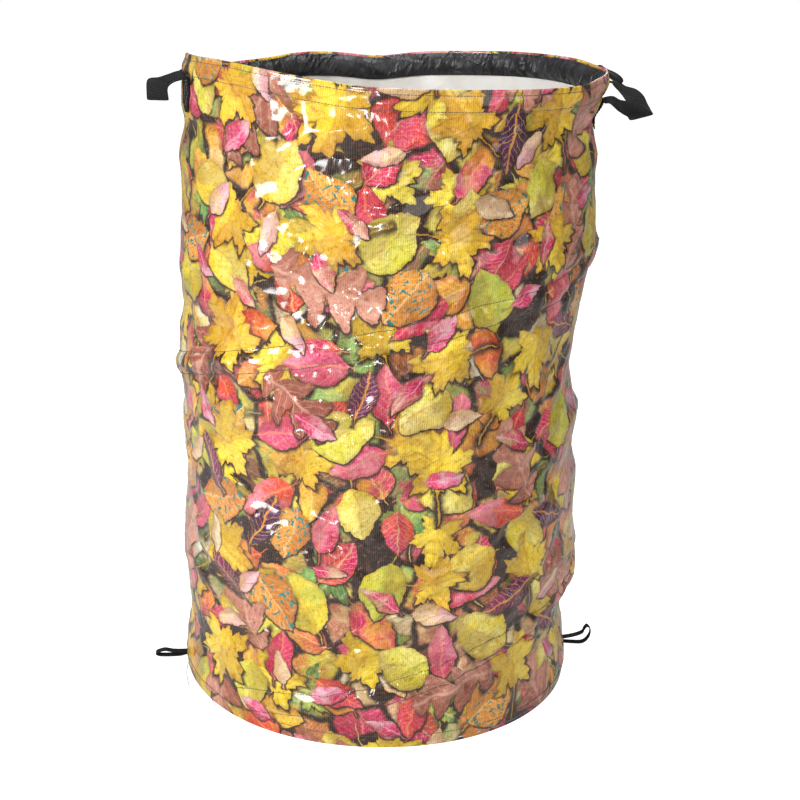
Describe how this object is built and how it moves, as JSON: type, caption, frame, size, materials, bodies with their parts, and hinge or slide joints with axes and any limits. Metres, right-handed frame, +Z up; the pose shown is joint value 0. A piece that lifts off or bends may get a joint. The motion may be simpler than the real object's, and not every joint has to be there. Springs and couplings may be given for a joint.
{
  "type": "pop up leaf bag",
  "caption": "Tall round garden bag held open by a spiral spring wire, with strap handles, rim toggles and elastic base loops. Its rim presses down flat.",
  "frame": {"origin": "centre of the round base, on the floor", "axes": "+Z up along the bag, +X through the right handle, toggle and base loop, -Y to the front"},
  "size_m": [0.5576, 0.4626, 0.708],
  "materials": {
    "leaf_print": "glossy laminated woven fabric with an autumn leaf print outside and plain white inside",
    "black_tape": "matt black woven tape",
    "black_webbing": "matt black ribbed webbing",
    "black_elastic": "matt black braided elastic",
    "black_plastic": "satin moulded plastic",
    "spring_steel": "bright drawn spring wire"
  },
  "bodies": {
    "base": {"wall_panel": "leaf_print", "back_seam": "leaf_print", "base_panel": "leaf_print", "base_sleeve": "black_tape", "base_hoop_wire": "spring_steel", "spiral_wire": "spring_steel", "spiral_sleeve": "black_tape", "base_wire_clip": "spring_steel"},
    "rim": {"top_hem": "leaf_print", "rim_sleeve": "black_tape", "rim_hoop_wire": "spring_steel", "rim_wire_clip": "spring_steel", "left_handle_front_end": "black_webbing", "left_handle_rear_end": "black_webbing", "right_handle_front_end": "black_webbing", "right_handle_rear_end": "black_webbing", "left_toggle_tab": "black_tape", "right_toggle_tab": "black_tape"},
    "left_handle": {"left_handle_strap": "black_webbing"},
    "left_toggle": {"left_toggle": "black_plastic"},
    "left_loop": {"left_base_loop": "black_elastic"},
    "right_handle": {"right_handle_strap": "black_webbing"},
    "right_toggle": {"right_toggle": "black_plastic"},
    "right_loop": {"right_base_loop": "black_elastic"}
  },
  "joints": [
    {"name": "collapse", "type": "slide", "parent": "base", "child": "rim", "axis": [0, 0, 1], "range_m": [-0.59, 0], "stiffness_N_per_m": 20, "springref_m": 0.2, "deforming": ["wall_panel", "back_seam", "spiral_wire", "spiral_sleeve"]},
    {"name": "left_handle_swing", "type": "hinge", "parent": "rim", "child": "left_handle", "pos_m": [-0.2307, 0, 0.68045], "axis": [0, -1, 0], "range_deg": [-80, 20], "stiffness_Nm_per_rad": 0.05},
    {"name": "left_toggle_swing", "type": "hinge", "parent": "rim", "child": "left_toggle", "pos_m": [-0.2342, 0, 0.702], "axis": [0, -1, 0], "range_deg": [-65, 5], "stiffness_Nm_per_rad": 0.01},
    {"name": "left_loop_swing", "type": "hinge", "parent": "base", "child": "left_loop", "pos_m": [-0.2317, 0, 0.0057], "axis": [0, -1, 0], "range_deg": [-65, 0]},
    {"name": "right_handle_swing", "type": "hinge", "parent": "rim", "child": "right_handle", "pos_m": [0.2307, 0, 0.68045], "axis": [0, 1, 0], "range_deg": [-80, 20], "stiffness_Nm_per_rad": 0.05},
    {"name": "right_toggle_swing", "type": "hinge", "parent": "rim", "child": "right_toggle", "pos_m": [0.2342, 0, 0.702], "axis": [0, 1, 0], "range_deg": [-35, 35], "stiffness_Nm_per_rad": 0.01},
    {"name": "right_loop_swing", "type": "hinge", "parent": "base", "child": "right_loop", "pos_m": [0.2317, 0, 0.0057], "axis": [0, 1, 0], "range_deg": [-65, 0]}
  ]
}
